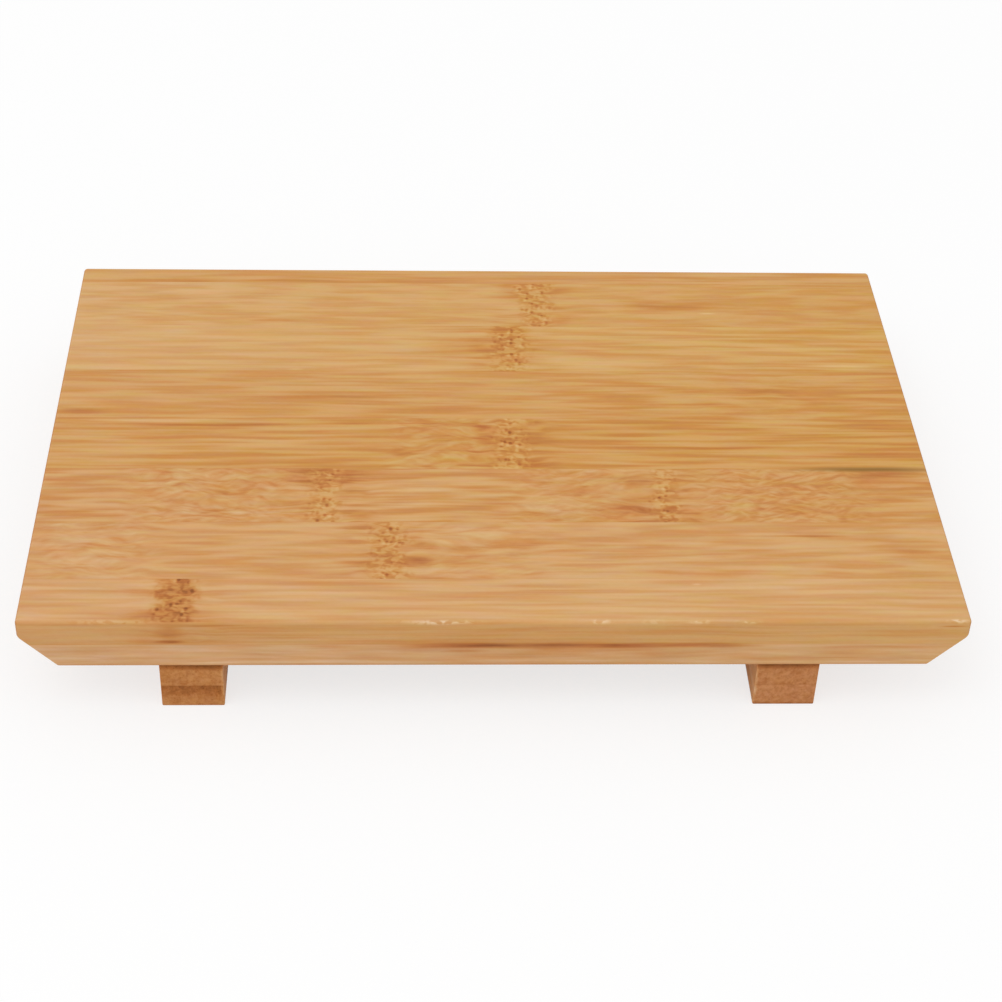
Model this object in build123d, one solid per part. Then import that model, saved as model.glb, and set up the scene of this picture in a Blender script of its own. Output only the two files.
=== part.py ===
from build123d import *
import os

# A sushi geta: a small bamboo serving board that stands on two cross legs.
# The board is two plies of bamboo strips, glued edge to edge and then face to face.
# Each leg is two plies of bamboo, and two blind glued dowels tie it to the board.
# Frame: millimetres, +Z up, +X along the board, front at -Y, origin on the table under the middle.

# Board
BOARD_LENGTH = 270.0
TOP_PLY_THICKNESS = 8.5
BOTTOM_PLY_THICKNESS = 8.5
CORNER_RADIUS = 1.2
TOP_EDGE_RADIUS = 1.0
UNDERSIDE_EDGE_RADIUS = 1.0

# Bevel across the underside of each end, which leaves room for the fingers
BEVEL_LENGTH = 11.2
BEVEL_HEIGHT = 11.8

# Strips, which run along X: whole ones between a trimmed one at the back and another at the front.
# The trimmed ones of the bottom ply differ, so that its glue lines miss those of the top ply.
WHOLE_STRIPS = 6
STRIP_WIDTH = 25.5
TOP_BACK_STRIP_WIDTH = 8.5
TOP_FRONT_STRIP_WIDTH = 18.5
BOTTOM_BACK_STRIP_WIDTH = 14.0

# Legs, which run along Y; the board overhangs them at both ends, a little less at the left
LEFT_OVERHANG = 39.0
RIGHT_OVERHANG = 41.5
LEG_WIDTH = 18.0
LEG_SETBACK = 0.5
LEG_UPPER_PLY_THICKNESS = 8.0
LEG_LOWER_PLY_THICKNESS = 8.0
LEG_EDGE_RADIUS = 0.4

# Dowels, in blind holes that cross the joint between a leg and the board
DOWEL_DIAMETER = 6.0
DOWEL_DEPTH_IN_BOARD = 10.0
DOWEL_DEPTH_IN_LEG = 10.0
DOWEL_CHAMFER = 0.6
DOWEL_GLUE_FILM = 0.05
DOWEL_END_GAP = 0.3

# Depth of the board, which is what the strips of its top ply add up to
BOARD_DEPTH = TOP_BACK_STRIP_WIDTH + WHOLE_STRIPS * STRIP_WIDTH + TOP_FRONT_STRIP_WIDTH

# Heights of the joints above the table
LEG_PLY_JOINT = LEG_LOWER_PLY_THICKNESS
UNDERSIDE = LEG_PLY_JOINT + LEG_UPPER_PLY_THICKNESS
BOARD_PLY_JOINT = UNDERSIDE + BOTTOM_PLY_THICKNESS
SERVING_FACE = BOARD_PLY_JOINT + TOP_PLY_THICKNESS

# Middles of the legs
LEFT_LEG_X = LEFT_OVERHANG + LEG_WIDTH / 2 - BOARD_LENGTH / 2
RIGHT_LEG_X = BOARD_LENGTH / 2 - RIGHT_OVERHANG - LEG_WIDTH / 2


def board_blank():
    """The glued board after milling and sanding, before it is divided into strips."""
    end = BOARD_LENGTH / 2
    bevel_foot = end - BEVEL_LENGTH
    bevel_top = UNDERSIDE + BEVEL_HEIGHT
    side_view = Plane.XZ * make_face(
        Polyline(
            (-end, SERVING_FACE),
            (end, SERVING_FACE),
            (end, bevel_top),
            (bevel_foot, UNDERSIDE),
            (-bevel_foot, UNDERSIDE),
            (-end, bevel_top),
            close=True,
        )
    )
    bevelled = extrude(side_view, BOARD_DEPTH / 2, both=True)
    plan = Pos(0, 0, UNDERSIDE) * RectangleRounded(BOARD_LENGTH, BOARD_DEPTH, CORNER_RADIUS)
    blank = bevelled & extrude(plan, SERVING_FACE - UNDERSIDE)
    serving_rim = blank.faces().sort_by(Axis.Z)[-1].edges()
    blank = fillet(serving_rim, TOP_EDGE_RADIUS)
    underside_rim = blank.faces().sort_by(Axis.Z)[0].edges()
    return fillet(underside_rim, UNDERSIDE_EDGE_RADIUS)


def strip_edges(back_strip_width):
    """Y of the edges of a ply's strips, from the back of the board to the front."""
    back = BOARD_DEPTH / 2
    first_glue_line = back - back_strip_width
    glue_lines = [first_glue_line - STRIP_WIDTH * count for count in range(WHOLE_STRIPS + 1)]
    return [back, *glue_lines, -back]


def cut_strips(blank, edges, low, high, name):
    """One ply of the blank, as a named solid for each strip, numbered from the back."""
    strips = {}
    for number, (back, front) in enumerate(zip(edges, edges[1:]), start=1):
        room = Pos(0, (back + front) / 2, (low + high) / 2) * Box(BOARD_LENGTH, back - front, high - low)
        strips[f"{name}_{number}"] = blank & room
    return strips


def leg_blank(x):
    """A whole leg, sanded all round except along its glued top face."""
    length = BOARD_DEPTH - 2 * LEG_SETBACK
    leg = Pos(x, 0, UNDERSIDE / 2) * Box(LEG_WIDTH, length, UNDERSIDE)
    glued_face = leg.faces().sort_by(Axis.Z)[-1]
    sanded = [edge for edge in leg.edges() if edge not in glued_face.edges()]
    return fillet(sanded, LEG_EDGE_RADIUS)


def leg_plies(x, name):
    """The leg's two plies, which meet in a level glue line."""
    leg = leg_blank(x)
    joint = Plane.XY.offset(LEG_PLY_JOINT)
    return {
        f"{name}_upper_ply": split(leg, bisect_by=joint, keep=Keep.TOP),
        f"{name}_lower_ply": split(leg, bisect_by=joint, keep=Keep.BOTTOM),
    }


def dowel_places(x):
    """Where a leg's dowels cross the underside: the middles of the bottom ply's outer whole strips."""
    edges = strip_edges(BOTTOM_BACK_STRIP_WIDTH)
    backmost = edges[1] - STRIP_WIDTH / 2
    foremost = edges[-2] + STRIP_WIDTH / 2
    return [Pos(x, y, UNDERSIDE) for y in (backmost, foremost)]


def pin(radius, depth_in_board, depth_in_leg):
    """An upright cylinder that crosses the joint at the origin."""
    middle = (depth_in_board - depth_in_leg) / 2
    return Pos(0, 0, middle) * Cylinder(radius, depth_in_board + depth_in_leg)


def dowel():
    """A bamboo dowel with chamfered ends."""
    plain = pin(DOWEL_DIAMETER / 2, DOWEL_DEPTH_IN_BOARD, DOWEL_DEPTH_IN_LEG)
    return chamfer(plain.edges().filter_by(GeomType.CIRCLE), DOWEL_CHAMFER)


def dowel_hole():
    """The two blind holes that a dowel is glued into, as one cutter."""
    return pin(
        DOWEL_DIAMETER / 2 + DOWEL_GLUE_FILM,
        DOWEL_DEPTH_IN_BOARD + DOWEL_END_GAP,
        DOWEL_DEPTH_IN_LEG + DOWEL_END_GAP,
    )


board = board_blank()
drilled = {
    **cut_strips(board, strip_edges(TOP_BACK_STRIP_WIDTH), BOARD_PLY_JOINT, SERVING_FACE, "top_strip"),
    **cut_strips(board, strip_edges(BOTTOM_BACK_STRIP_WIDTH), UNDERSIDE, BOARD_PLY_JOINT, "bottom_strip"),
}
dowels = {}
holes = []
for side, leg_x in (("left", LEFT_LEG_X), ("right", RIGHT_LEG_X)):
    drilled.update(leg_plies(leg_x, f"{side}_leg"))
    dowels[f"{side}_leg_dowels"] = Compound(children=[place * dowel() for place in dowel_places(leg_x)])
    holes += [place * dowel_hole() for place in dowel_places(leg_x)]

pieces = {name: solid - holes for name, solid in drilled.items()}
pieces.update(dowels)

os.makedirs("parts", exist_ok=True)
for name, shape in pieces.items():
    export_step(shape, os.path.join("parts", f"{name}.step"))
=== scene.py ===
import math

import bpy
from mathutils import Matrix, Vector


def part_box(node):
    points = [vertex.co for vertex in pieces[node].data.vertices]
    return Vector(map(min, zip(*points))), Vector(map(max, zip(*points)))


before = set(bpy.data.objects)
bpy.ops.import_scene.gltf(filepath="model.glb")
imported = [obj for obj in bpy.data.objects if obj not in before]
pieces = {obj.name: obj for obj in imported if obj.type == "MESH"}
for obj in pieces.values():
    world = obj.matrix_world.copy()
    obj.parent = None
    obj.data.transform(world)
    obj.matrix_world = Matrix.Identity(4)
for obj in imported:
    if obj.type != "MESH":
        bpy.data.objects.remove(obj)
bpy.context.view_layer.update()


# Top ply of the board: eight strips of split bamboo, planed square and glued edge to edge.
# Every strip is cut from another culm, so each has its own shade, nodes, curls and stains.
# The face is sanded and rubbed with food oil, which leaves a low satin gloss.
class Shade:
    """A socket of a node tree: sums and products of shades add their Math nodes."""

    def __init__(self, tree, socket=None):
        self.tree = tree
        self.socket = socket

    def node(self, kind, settings=None, sockets=None, output=None):
        """Adds a node: its settings first, then the value or the link of each socket."""
        new = self.tree.nodes.new(kind)
        for name, value in (settings or {}).items():
            if name == "stops":
                self.set_stops(new.color_ramp, value)
            else:
                setattr(new, name, value)
        inputs = {socket.identifier: socket for socket in new.inputs}
        for name, value in (sockets or {}).items():
            if isinstance(value, Shade):
                self.tree.links.new(value.socket, inputs[name])
            else:
                inputs[name].default_value = value
        outputs = {socket.identifier: socket for socket in new.outputs}
        return Shade(self.tree, outputs[output] if output else next(iter(new.outputs), None))

    @staticmethod
    def set_stops(ramp, stops):
        while len(ramp.elements) < len(stops):
            ramp.elements.new(1.0)
        for element, (position, colour) in zip(ramp.elements, stops):
            element.position = position
            element.color = (*colour, 1.0)

    def maths(self, operation, first, second=0.0):
        return self.node("ShaderNodeMath", {"operation": operation}, {"Value": first, "Value_001": second})

    def __add__(self, other):
        return self.maths("ADD", self, other)

    def __radd__(self, other):
        return self.maths("ADD", other, self)

    def __sub__(self, other):
        return self.maths("SUBTRACT", self, other)

    def __rsub__(self, other):
        return self.maths("SUBTRACT", other, self)

    def __mul__(self, other):
        return self.maths("MULTIPLY", self, other)

    def __rmul__(self, other):
        return self.maths("MULTIPLY", other, self)

    def __abs__(self):
        return self.maths("ABSOLUTE", self)

    def ease(self, start, stop):
        """0 at start and 1 at stop, smooth between; start may lie above stop."""
        return self.node("ShaderNodeMapRange", {"interpolation_type": "SMOOTHSTEP"},
                         {"Value": self, "From Min": start, "From Max": stop})

    def mix(self, first, second, factor, clamped=True):
        """A colour between two others, or past them where the factor isn't clamped."""
        return self.node("ShaderNodeMix", {"data_type": "RGBA", "clamp_factor": clamped},
                         {"Factor_Float": factor, "A_Color": first, "B_Color": second}, "Result_Color")

    def vector(self, operation, first, second):
        return self.node("ShaderNodeVectorMath", {"operation": operation},
                         {"Vector": first, "Vector_001": second})

    def scaled(self, factor):
        return self.node("ShaderNodeVectorMath", {"operation": "SCALE"}, {"Vector": self, "Scale": factor})

    def mapped(self, kind="POINT", place=(0, 0, 0), turn=(0, 0, 0), scale=(1, 1, 1)):
        return self.node("ShaderNodeMapping", {"vector_type": kind},
                         {"Vector": self, "Location": place, "Rotation": turn, "Scale": scale})

    def stretched(self, size):
        """Places for a pattern whose lumps measure about size, in millimetres along each axis."""
        return self.mapped(scale=tuple(1 / length for length in size))

    def noise(self, size, detail=2.0, roughness=0.5, distortion=0.0, output="Fac"):
        """Soft lumps that measure about size."""
        return self.node("ShaderNodeTexNoise", {}, {
            "Vector": self.stretched(size), "Scale": 1.0, "Detail": detail,
            "Roughness": roughness, "Distortion": distortion}, output)

    def cells(self, size):
        """Distance from the nearest of scattered points that lie about size apart."""
        return self.node("ShaderNodeTexVoronoi", {}, {"Vector": self.stretched(size), "Scale": 1.0},
                         "Distance")


def srgb(red, green, blue):
    """A colour as it is read off a screen, from 0 to 255, made linear."""
    return tuple(((c / 255 + 0.055) / 1.055) ** 2.4 for c in (red, green, blue))


# The board in millimetres: its faces, and the upper arris of its front.
MM = 1000
STRIP_LENGTH = 270.0
TOP_FACE = 33.0
PLY_JOINT = 24.5
FRONT = -90.0
FRONT_ARRIS = (FRONT + 0.4, TOP_FACE - 0.3)

# Bamboo's three hues, each from dark to pale, and what is left of its skin.
HONEY = [(0.0, srgb(146, 82, 30)), (0.2, srgb(188, 115, 46)), (0.4, srgb(204, 144, 64)),
         (0.6, srgb(213, 166, 94)), (0.8, srgb(222, 184, 119)), (1.0, srgb(236, 207, 153))]
ROSY = [(0.0, srgb(138, 79, 37)), (0.2, srgb(181, 111, 57)), (0.4, srgb(203, 140, 81)),
        (0.6, srgb(213, 163, 109)), (0.8, srgb(223, 181, 134)), (1.0, srgb(238, 210, 176))]
AMBER = [(0.0, srgb(150, 74, 31)), (0.2, srgb(194, 105, 48)), (0.4, srgb(212, 134, 68)),
         (0.6, srgb(222, 156, 96)), (0.8, srgb(231, 175, 122)), (1.0, srgb(243, 201, 160))]
GREEN_SKIN = (*srgb(148, 106, 42), 1.0)

# Sizes of its grain in millimetres, with the grain along X.
ALONG_X = (0.0, 0.0, 0.0)
FAR_APART = Vector((431.0, 173.0, 97.0))
STREAK_WIDTH = 2.4
THREAD_WIDTH = 1.35
PATCH = (55.0, 8.0, 8.0)
LONG_STROKE = (13.0, 2.9)
SHORT_STROKE = (5.5, 1.5)
SLANT = math.radians(17)
NODE_WANDER = 10.0
NODE_FEATHER = 3.0
NODE_FLARE = 13.0
NODE_WAVES = (18.0, 2.0)
VESSELS = (2.3, 3.0, 60.0)
VESSEL_EDGE = (0.4, 0.08)
GLINT = (0.9, 0.8, 0.0)
BUNDLES = (48.0, 0.8, 0.8)
CHIP_AND_HIGHLIGHT_SIZE = (2.0, 1.1, 1.1)
CHIP_AND_HIGHLIGHT_REACH = (1.1, 1.0)
GLUE_LINE = (0.5, 0.1)

# How far a face is turned when it starts and stops to show its cut, and how much darker sawn ends are.
TURNED = (0.35, 0.85)
END_TONE = -0.2
RELIEF = 0.00012


def axis_of(vector, axis):
    """One coordinate of a place or a direction."""
    return vector.node("ShaderNodeSeparateXYZ", {}, {"Vector": vector}, axis)


def nudge(place, size, amount):
    """Pushes the places of a pattern sideways across the grain, by lumps of noise."""
    lumps = place.noise(size, detail=1.0, output="Color")
    centred = place.vector("SUBTRACT", lumps, (0.5, 0.5, 0.5))
    across = place.vector("MULTIPLY", centred, (0.0, 2.0, 2.0))
    return place.vector("ADD", place, across.scaled(amount))


def bamboo(name, seed, tone, blush, streak=(1.0, 1.0), run=24.0, knots=(), curls=(), stains_and_painted_light=(), slivers=(),
           chips_and_highlights=(), turn=ALONG_X, seams=(), rind=None, side_tone=0.0, side_warm=0.0, gloss=0.25):
    """Split bamboo as one solid pattern, so that a fibre runs on round every edge of the piece.

    tone is the shade at both ends of the grain, from dark (0) to pale (1), blush how rosy it is there
    and streak how strong its fibres show there, in streaks about as long as run;
    knots are the culm's nodes, each with its place along the grain, half width, change of tone
    and waves of the grain beside it; curls are stretches of curly grain, each with its place, reach,
    waves and share of crossing strokes;
    stains are spots, streaks and smears, and lines of painted shade and painted highlight, each with its
    place, half sizes and change of tone;
    slivers are places, with half sizes, where a little of the culm's green skin is left;
    chipped are stretches of pale wear and painted highlight on the front arris, each with its middle, half
    length and strength;
    turn lays the grain along another axis; seams are the glued faces, as pairs of an axis and a place on it;
    rind gives the heights between which sawn ends change towards the culm's skin, and the change of tone;
    side_tone and side_warm make faces at the piece's own edges paler and more amber.
    """
    material = bpy.data.materials.new(name)
    material.use_nodes = True
    material.node_tree.nodes.clear()
    start = Shade(material.node_tree)
    place = start.node("ShaderNodeTexCoord", output="Object").scaled(MM)
    grain = place.mapped(turn=turn)
    along = axis_of(grain, "X")
    share = along * (1 / STRIP_LENGTH) + 0.5

    def between_ends(left, right):
        return left + (right - left) * share

    culm = grain.mapped(place=tuple(FAR_APART * seed))

    # Faces sawn across the grain, and faces at the strip's own edges.
    normal = start.node("ShaderNodeNewGeometry", output="Normal").mapped(turn=turn)
    cut_end = abs(axis_of(normal, "X")).ease(*TURNED)
    cut_side = abs(axis_of(normal, "Y")).ease(*TURNED)

    # The grain is wavy in curly stretches and beside the nodes, which are ragged bands of knotted fibre.
    ragged = culm.noise((8.0, 5.0, 5.0), detail=2.0, roughness=0.6) - 0.5
    curly = 0.0
    crossed = 0.0
    for x, reach, waves, crossing in curls:
        near = abs(along - x).ease(reach, 0.4 * reach)
        curly = curly + waves * near
        crossed = crossed + crossing * near
    wavy = curly + 0.06
    knotted = 0.0
    beside = 0.0
    knot_tone = 0.0
    for x, half, change, waves in knots:
        far, close = NODE_WAVES
        wavy = wavy + waves * abs(along - x).ease(half + far, half + close)
        off = abs(along - x + NODE_WANDER * ragged)
        band = off.ease(half + NODE_FEATHER, half - NODE_FEATHER) * (1 - cut_side)
        knotted = knotted + band
        knot_tone = knot_tone + change * band
        beside = beside + off.ease(half + NODE_FLARE, half) * (1 - 0.6 * cut_side) - band

    # The fibres show as soft streaks with finer threads between them, in patches of paler and darker wood.
    fibre = nudge(culm, (80.0, 14.0, 14.0), 1.4)
    bent = nudge(fibre, (14.0, 6.5, 6.5), 4.0 * wavy)
    streaks = bent.noise((run, STREAK_WIDTH, STREAK_WIDTH), detail=1.0).ease(0.32, 0.68) - 0.5
    thread = (1.4 * run, THREAD_WIDTH, THREAD_WIDTH)
    threads = bent.noise(thread, detail=2.0, roughness=0.6).ease(0.28, 0.72) - 0.5
    wool = bent.noise((2.2, 0.8, 0.8), detail=1.0) - 0.5
    patches = fibre.noise(PATCH, detail=1.0) - 0.5
    broad = 1 - 0.6 * cut_side
    straight = broad * (1 - 0.75 * crossed) * (1 - 0.4 * knotted) * (1 - 0.25 * curly)
    streak_weight = 0.2 * straight * (1 - 0.8 * cut_end)
    thread_weight = 0.17 - 0.11 * broad + 0.08 * cut_end
    figure = between_ends(*streak) * (streak_weight * streaks + thread_weight * threads)
    shade = between_ends(*tone) + 0.12 * (broad - 0.5 * cut_end) * patches + figure + 0.06 * wool

    # In curly grain they lean over in long strokes, and in the curliest they cross in short ones.
    def leaned(length, width, lean):
        return bent.mapped(turn=(0.0, 0.0, lean)).noise((length, width, width), detail=2.0).ease(0.3, 0.7)

    def strokes(length, width):
        rising = fibre.noise((1.3 * length, 2.4 * width, 2.4 * width), detail=0.0).ease(0.42, 0.58)
        return leaned(length, width, SLANT) * rising + leaned(length, width, -SLANT) * (1 - rising) - 0.5

    leaning = 0.0
    if curls:
        leaning = curly * strokes(*LONG_STROKE)
        shade = shade + broad * (0.215 * crossed * strokes(*SHORT_STROKE) + 0.28 * leaning)

    # Beside a node they flare darker. In it they tangle round dark dots of vessels, pale on one side.
    if knots:
        flare = fibre.noise((26.0, 4.5, 4.5), detail=1.0).ease(0.44, 0.68)
        tangle = culm.noise((2.8, 1.7, 1.7), detail=1.0, distortion=0.5).ease(0.34, 0.66) - 0.5
        dots = culm.cells(VESSELS).ease(*VESSEL_EDGE)
        glints = culm.mapped(place=GLINT).cells(VESSELS).ease(*VESSEL_EDGE)
        shade = shade - beside * (0.13 * flare + 0.06 * streaks.ease(0.05, -0.4)) + knot_tone
        shade = shade + knotted * (0.15 * ragged + 0.26 * tangle - 0.25 * dots + 0.15 * glints)

    # Bundles of hard fibre: thin dashes along the grain, and dots where the end grain shows.
    bundle = fibre.cells(BUNDLES).ease(0.45, 0.1)
    shade = shade - (0.03 + 0.04 * cut_end) * bundle + END_TONE * cut_end + side_tone * cut_side
    if rind:
        flesh, skin, change = rind
        shade = shade + change * axis_of(place, "Z").ease(flesh, skin) * cut_end

    # Stains, and the lines of painted shade and painted highlight among them, follow the fibres, so their
    # edges feather along the grain; chips, with their painted highlight, and glue lines are crisper.
    wavering = nudge(place, (24.0, 9.0, 9.0), 0.5)

    def spot(x, y, z, half_x, half_y, half_z):
        lens = wavering.mapped("TEXTURE", place=(x, y, z), scale=(half_x, half_y, half_z))
        reach = start.node("ShaderNodeVectorMath", {"operation": "LENGTH"}, {"Vector": lens}, "Value")
        return reach.ease(1.0, 0.1)

    for *where, change in stains_and_painted_light:
        shade = shade + change * (0.9 + 0.7 * threads) * spot(*where)
    if chips_and_highlights:
        # Pale dabs along the front arris: partly worn chips, partly painted highlight where the rounded
        # arris catches the light.
        chip_and_highlight_mask = culm.noise(CHIP_AND_HIGHLIGHT_SIZE, detail=1.0).ease(0.38, 0.58)
        for x, half_length, wear in chips_and_highlights:
            shade = shade + wear * chip_and_highlight_mask * spot(x, *FRONT_ARRIS, half_length, *CHIP_AND_HIGHLIGHT_REACH)
    glue = 0.0
    for axis, joint in seams:
        glue = glue + abs(axis_of(place, axis) - joint).ease(*GLUE_LINE)
    shade = shade - 0.035 * glue

    # The hue wanders between honey and rosy, and in flecks to amber, apart from the shade.
    blend = (culm.noise((120.0, 7.0, 7.0), detail=1.0) - 0.5) * 0.4 + between_ends(*blush)
    blend = blend + (bent.noise((9.0, 1.7, 1.7), detail=1.0) - 0.5) * 1.5 * (1 - 0.7 * cut_end)
    blend = blend * (1 - 0.35 * knotted) * (1 - 0.2 * cut_side)
    flecks = (fibre.noise((13.0, 1.9, 1.9), detail=1.0) - 0.5) * 1.1 * (1 - 0.7 * cut_end)
    warm = flecks - 0.4 * leaning - 0.2 * cut_end + side_warm * cut_side
    honey, rosy, amber = [start.node("ShaderNodeValToRGB", {"stops": stops}, {"Fac": shade}, "Color")
                          for stops in (HONEY, ROSY, AMBER)]
    colour = start.mix(honey, rosy, blend, clamped=False)
    colour = start.mix(colour, amber, warm, clamped=False)
    for where in slivers:
        colour = start.mix(colour, GREEN_SKIN, spot(*where))
    relief = start.node("ShaderNodeBump", {}, {
        "Strength": 0.2, "Distance": RELIEF, "Height": threads - 0.6 * bundle}, "Normal")
    wood = start.node("ShaderNodeBsdfPrincipled", {}, {
        "Base Color": colour, "Roughness": 0.66 - 0.2 * shade, "Normal": relief,
        "Specular IOR Level": gloss}, "BSDF")
    start.node("ShaderNodeOutputMaterial", {}, {"Surface": wood})
    return material


def glued_faces(name):
    """A strip's seams: the ply joint, and its sides unless they are the front or back of the board."""
    low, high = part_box(name)
    sides = [("Y", side * MM) for side in (low.y, high.y) if abs(side * MM) < abs(FRONT) - 1]
    return sides + [("Z", PLY_JOINT)]


def on_top(x, y, half_length, half_width, change):
    """A stain on the serving face, which goes a few millimetres deep."""
    return (x, y, TOP_FACE, half_length, half_width, 5.0, change)


def on_front(x, z, half_length, half_height, change):
    """A mark on the front edge of the board; most are stains, and a few are lines of painted shade and
    painted highlight.
    """
    return (x, FRONT, z, half_length, 4.0, half_height, change)


GLUE_STREAK = [
    on_front(x, PLY_JOINT - 0.5, half_length, 1.7, change)
    for x, half_length, change in ((-23, 10, -0.14), (-9, 18, -0.36), (8, 20, -0.33),
                                   (26, 20, -0.34), (44, 20, -0.4), (62, 17, -0.32))]
GREEN_SLIVER = (117, -20.4, TOP_FACE, 32, 1.9, 3.0)
TOP_STRIPS = {
    "top_strip_1": dict(
        seed=1, tone=(0.51, 0.515), blush=(0.6, 0.45), streak=(0.8, 0.8), run=40.0,
        stains_and_painted_light=[on_top(-65, 82.3, 85, 1.7, -0.14), on_top(63, 86, 26, 1.8, -0.12)]),
    "top_strip_2": dict(
        seed=2, tone=(0.61, 0.485), blush=(0.65, 0.2), streak=(0.7, 0.6), run=20.0,
        knots=[(18.5, 4.6, -0.13, 0.2)],
        stains_and_painted_light=[on_top(-68, 59, 12, 1.4, -0.1), on_top(35, 65, 11, 2.4, -0.16),
                on_top(64, 68.5, 26, 3.8, -0.19), on_top(76, 64, 4.0, 0.7, 0.22),
                on_top(26, 60, 6, 3.0, -0.12)]),
    "top_strip_3": dict(
        seed=3, tone=(0.625, 0.51), blush=(0.75, 0.0), streak=(0.55, 1.0), run=32.0,
        knots=[(8.8, 5.6, -0.17, 0.2)],
        stains_and_painted_light=[on_top(-8, 44, 20, 9.0, -0.12), on_top(20, 45, 13, 5.0, -0.14),
                on_top(-41, 52, 16, 1.4, -0.08), on_top(118, 34, 22, 1.0, 0.16),
                on_top(-61, 31.2, 4, 0.7, 0.2)]),
    "top_strip_4": dict(
        seed=4, tone=(0.5, 0.475), blush=(0.65, 0.2), streak=(0.75, 1.05), run=32.0,
        curls=[(85, 30, 0.15, 0.1)],
        stains_and_painted_light=[on_top(-45, 16, 42, 1.6, -0.14), on_top(76, 20, 34, 2.8, -0.19),
                on_top(-128, 8, 12, 2.6, -0.16)]),
    "top_strip_5": dict(
        seed=5, tone=(0.485, 0.44), blush=(0.5, 0.15), streak=(1.1, 1.2), run=42.0,
        knots=[(7.0, 4.4, -0.01, 0.4)],
        curls=[(-14, 22, 0.7, 0.35)],
        stains_and_painted_light=[on_top(-5, -8, 45, 16, -0.06), on_top(-90, 1.6, 58, 1.7, -0.22),
                on_top(-38, 2.2, 20, 1.2, -0.14), on_top(-94, 3.7, 48, 1.1, 0.18),
                on_top(70, -10, 50, 1.2, -0.12)],
        slivers=[GREEN_SLIVER]),
    "top_strip_6": dict(
        seed=6, tone=(0.5, 0.5), blush=(0.85, 0.5), streak=(1.15, 1.15),
        knots=[(-50.0, 4.4, -0.08, 0.4), (52.5, 3.2, -0.09, 0.4)],
        curls=[(-84, 34, 0.7, 0.6), (26, 26, 0.6, 0.5), (88, 36, 0.4, 1.0)],
        stains_and_painted_light=[on_top(-50, -27, 11, 5.0, -0.06), on_top(-52, -38, 11, 1.8, 0.12),
                on_top(122, -23.6, 18, 3.2, -0.16), on_top(-83, -32.5, 9, 1.8, -0.12),
                on_top(43, -38, 9, 4.0, -0.14), on_top(44, -27, 9, 2.4, -0.12),
                on_top(-26, -33, 26, 14, 0.08), on_top(36, -33, 20, 14, -0.07),
                on_top(92, -33, 50, 16, -0.06)],
        slivers=[GREEN_SLIVER]),
    "top_strip_7": dict(
        seed=7, tone=(0.54, 0.545), blush=(0.95, 0.6), streak=(0.95, 0.95),
        knots=[(-31.0, 4.8, -0.11, 0.4)],
        curls=[(-116, 24, 0.5, 0.4), (-4, 26, 0.5, 0.15)],
        stains_and_painted_light=[on_top(89, -52.4, 27, 0.9, -0.2), on_top(66, -61, 9, 2.4, -0.12),
                on_top(-8, -59, 9, 2.4, -0.1), on_top(-22, -55, 8, 1.6, -0.13),
                on_top(-21, -63, 6, 1.4, -0.11), on_top(124, -59, 10, 2.6, -0.12)]),
    "top_strip_8": dict(
        # side_tone makes the board's front face a little darker than the top: partly the edge grain's own
        # tone, partly painted shade for the weaker light on the front.
        seed=8, tone=(0.57, 0.605), blush=(1.0, 0.65), streak=(0.95, 0.88), run=45.0, side_tone=-0.06,
        knots=[(-91.0, 5.2, -0.29, 0.3)],
        stains_and_painted_light=[on_top(-40, -73.6, 48, 1.2, -0.1), on_top(-91, -76, 9, 3.2, -0.05),
                on_top(58, -74, 2, 0.6, 0.2), on_front(-92, 29.0, 6, 4.6, -0.17),
                # The dark lines just below the front arris, at -80 and 130, are painted shade where the
                # rounded arris turns away from the light.
                on_front(-92.3, 25.5, 6, 1.0, -0.32), on_front(-80, 31.6, 14, 0.5, -0.16),
                on_front(130, 31.2, 6, 0.5, -0.25), *GLUE_STREAK],
        chips_and_highlights=[(-108, 18, 0.2), (-16, 15, 0.42), (29, 5, 0.3), (44, 5, 0.16), (57, 5, 0.28),
                 (71, 5, 0.26), (131, 5, 0.36)]),
}
for name, look in TOP_STRIPS.items():
    pieces[name].material_slots[0].material = bamboo(
        name.replace("strip", "bamboo"), seams=glued_faces(name), **look)


# Bottom ply: eight more strips, laid out of step with the upper ones so that no joint lies under another.
# They are the same bamboo, a little rosier, glued face to face under the top ply.
# Their ends are sawn off in a long bevel, which leaves room for the fingers.
BOTTOM_STRIPS = 8
BOTTOM_SEED = 10
BOTTOM_TONE = 0.55
TONE_SPREAD = 0.05
LEFT_PALER = 0.06
FRONT_PALER = 0.02
NODE_SPREAD = 110.0
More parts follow.
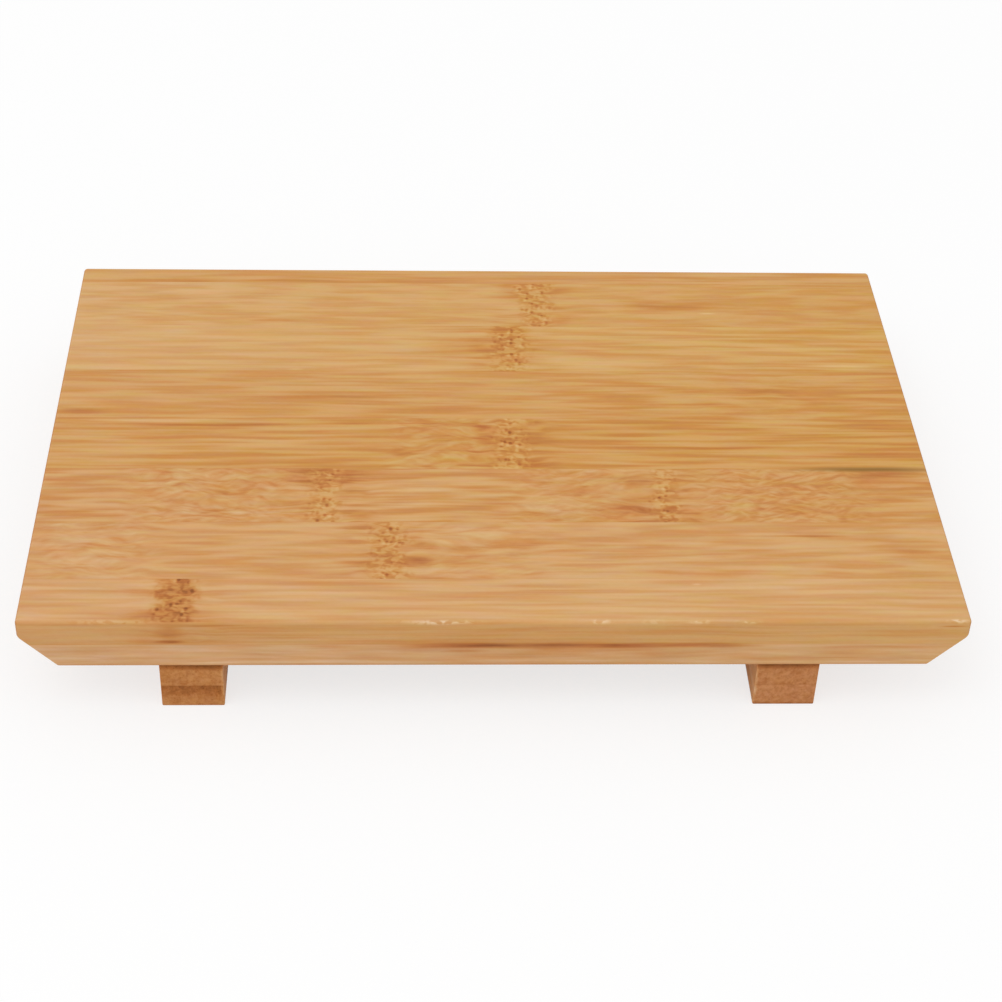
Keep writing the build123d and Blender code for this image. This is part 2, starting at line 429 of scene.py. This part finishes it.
# Along the rounded lower arris of the front: a thin dark line, painted shade where the rounding turns away
# from the light, and a paler line above it, painted highlight from light bounced off the floor.
LOWER_ARRIS_SHADE_AND_HIGHLIGHT = [on_front(0, 16.6, 400, 1.0, -0.12), on_front(0, 17.9, 400, 0.8, 0.08)]
FRONT_LOOK = dict(
    blush=(1.55, 1.2), streak=(1.35, 1.35),
    stains_and_painted_light=[*GLUE_STREAK, *LOWER_ARRIS_SHADE_AND_HIGHLIGHT, on_front(-9, 21.8, 9, 1.0, -0.14),
            on_front(17, 22.6, 9, 1.0, -0.1), on_front(2, 21.5, 60, 8.0, -0.09)])
for number in range(1, BOTTOM_STRIPS + 1):
    name = f"bottom_strip_{number}"
    shade = BOTTOM_TONE + TONE_SPREAD * math.sin(2.4 * number)
    node_place = NODE_SPREAD * math.sin(5.1 * number)
    look = dict(blush=(1.1, 1.0), knots=[(node_place, 4.6, -0.08, 0.4)])
    if number == BOTTOM_STRIPS:
        shade = shade + FRONT_PALER
        look = FRONT_LOOK
    pieces[name].material_slots[0].material = bamboo(
        f"bottom_bamboo_{number}", seed=BOTTOM_SEED + number, tone=(shade + LEFT_PALER, shade),
        seams=glued_faces(name), **look)


# Legs: two bars, each pressed from two bamboo plies and cut to the depth of the board.
# Their grain runs from front to back, so their front and back ends show the dots of end grain.
# They are glued and pegged to the underside.
UNDERSIDE = 16.0
LEG_PLY_JOINT = 8.0
LEG_SEAMS = [("Z", LEG_PLY_JOINT), ("Z", UNDERSIDE)]
ALONG_Y = (0.0, 0.0, -math.pi / 2)
LEG_PLIES = {
    "left_leg_upper_ply": dict(seed=21, tone=(0.525, 0.525), blush=(1.15, 1.15)),
    "left_leg_lower_ply": dict(seed=22, tone=(0.54, 0.54), blush=(1.15, 1.15), rind=(2.5, 7.2, -0.21)),
    "right_leg_upper_ply": dict(seed=23, tone=(0.53, 0.53), blush=(1.4, 1.4)),
    "right_leg_lower_ply": dict(seed=24, tone=(0.56, 0.56), blush=(1.5, 1.5), rind=(1.4, 0.2, -0.14)),
}
for name, look in LEG_PLIES.items():
    low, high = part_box(name)
    inner_edge = min(low.x, high.x, key=abs) * MM
    front_end = low.y * MM
    # A pale line painted down the inner front edge of each leg: painted highlight, where its rounded edge
    # catches the light.
    painted_edge_highlight = (inner_edge, front_end, LEG_PLY_JOINT, 1.0, 1.0, 12.0, 0.25)
    # A dark band painted across the top of each leg, just under the board: painted shadow where the board
    # meets the leg.
    painted_shadow_under_board = (inner_edge, front_end, UNDERSIDE, 40.0, 4.0, 2.6, -0.32)
    # side_tone and side_warm paint the side faces of the legs paler and more amber: painted light, standing
    # in for the light that the board's shade takes from their inner faces.
    pieces[name].material_slots[0].material = bamboo(
        name.replace("ply", "bamboo"), turn=ALONG_Y, seams=LEG_SEAMS, stains_and_painted_light=[painted_edge_highlight, painted_shadow_under_board],
        side_tone=0.06, side_warm=0.8, gloss=0.03, **look)


# Dowels: two fluteless bamboo pegs in each leg, glued into blind holes in the leg and the board.
# They are turned from the same culms, with the grain along the peg, and nothing of them shows.
DOWEL_SEED = 31
ALONG_Z = (0.0, math.pi / 2, 0.0)
for number, name in enumerate(("left_leg_dowels", "right_leg_dowels")):
    pieces[name].material_slots[0].material = bamboo(
        name.replace("dowels", "dowel_bamboo"), seed=DOWEL_SEED + number, tone=(0.6, 0.6),
        blush=(0.5, 0.5), turn=ALONG_Z)


# Floor: a plain white sheet under the legs. It bounces a little less light than it shows and keeps
# the shadow of the board. It is clear from below, and under the feet, so that the underside shows.
FLOOR_SIZE = 12.0
FLOOR_BOUNCE = (*srgb(236, 235, 233), 1.0)
FLOOR_GLOW = 0.72
FOOT_EDGE = 0.0004
WHITE = (1.0, 1.0, 1.0, 1.0)
bpy.ops.object.select_all(action="DESELECT")
bpy.ops.mesh.primitive_plane_add(size=FLOOR_SIZE, location=(0.0, 0.0, 0.0))
floor = bpy.context.object
floor.name = "floor"
paper = bpy.data.materials.new("white_paper")
paper.use_nodes = True
paper.node_tree.nodes.clear()
sheet = Shade(paper.node_tree)


def seen(shade):
    """1 where the camera looks, straight or through a mirror or glass, and 0 for bounced light."""
    rays = [shade.node("ShaderNodeLightPath", output=ray)
            for ray in ("Is Camera Ray", "Is Glossy Ray", "Is Transmission Ray")]
    return rays[0] + rays[1] + rays[2]


matt = sheet.node("ShaderNodeBsdfDiffuse", {}, {"Color": sheet.mix(FLOOR_BOUNCE, WHITE, seen(sheet))})
white = sheet.node("ShaderNodeEmission", {}, {"Color": WHITE, "Strength": 1.0})
pale = sheet.node("ShaderNodeMixShader", {}, {
    "Fac": FLOOR_GLOW * seen(sheet), "Shader": matt, "Shader_001": white})
clear = sheet.node("ShaderNodeBsdfTransparent")
gone = sheet.node("ShaderNodeNewGeometry", output="Backfacing")
spread = sheet.node("ShaderNodeTexCoord", output="Object")
for name in ("left_leg_lower_ply", "right_leg_lower_ply"):
    low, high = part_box(name)
    middle = (low + high) / 2
    half = (high - low) / 2
    across = abs(axis_of(spread, "X") - middle.x).ease(half.x - FOOT_EDGE, half.x - 2 * FOOT_EDGE)
    lengthwise = abs(axis_of(spread, "Y") - middle.y).ease(half.y - FOOT_EDGE, half.y - 2 * FOOT_EDGE)
    gone = gone + across * lengthwise
sheet.node("ShaderNodeOutputMaterial", {}, {
    "Surface": sheet.node("ShaderNodeMixShader", {}, {"Fac": gone, "Shader": pale, "Shader_001": clear})})
floor.data.materials.append(paper)


# Light: an even white room with one wide softbox above, a little to the front and the left.
# The room shows as plain white, and lights the board a little less than it shows.
ROOM_LIGHT = 0.82
SOFTBOX_SIZE = 1.6
SOFTBOX_POWER = 10.7
SOFTBOX_PLACE = Vector((-0.7, -0.75, 2.1))
room = bpy.data.worlds.new("white_room")
bpy.context.scene.world = room
room.use_nodes = True
room.node_tree.nodes.clear()
air = Shade(room.node_tree)
strength = ROOM_LIGHT + (1.0 - ROOM_LIGHT) * seen(air)
air.node("ShaderNodeOutputWorld", {}, {
    "Surface": air.node("ShaderNodeBackground", {}, {"Color": WHITE, "Strength": strength})})
bpy.ops.object.light_add(type="AREA", location=SOFTBOX_PLACE)
softbox = bpy.context.object
softbox.name = "softbox"
softbox.data.size = SOFTBOX_SIZE
softbox.data.energy = SOFTBOX_POWER
softbox.rotation_euler = SOFTBOX_PLACE.to_track_quat("Z", "Y").to_euler()


# Camera: looks down on the front of the board from about arm's length, a touch left of its middle.
# The picture is square, and shifted a little so that the board lies in it as in the photograph.
PICTURE_WIDTH = 1002
PICTURE_CENTRE_X = 487
CAMERA_PLACE = Vector((-0.02938, -0.54934, 0.45084))
CAMERA_YAW = 3.132
CAMERA_PITCH = 39.106
CAMERA_ROLL = -2.057
SENSOR_WIDTH = 36.0
LENS = 79.284
bpy.ops.object.camera_add()
camera = bpy.context.object
camera.data.sensor_width = SENSOR_WIDTH
camera.data.lens = LENS
camera.data.shift_x = 0.5 - PICTURE_CENTRE_X / PICTURE_WIDTH
turned = (Matrix.Rotation(-math.radians(CAMERA_YAW), 4, "Z")
          @ Matrix.Rotation(math.radians(90 - CAMERA_PITCH), 4, "X")
          @ Matrix.Rotation(-math.radians(CAMERA_ROLL), 4, "Z"))
camera.matrix_world = Matrix.Translation(CAMERA_PLACE) @ turned
bpy.context.scene.camera = camera
bpy.context.scene.view_settings.view_transform = "Standard"
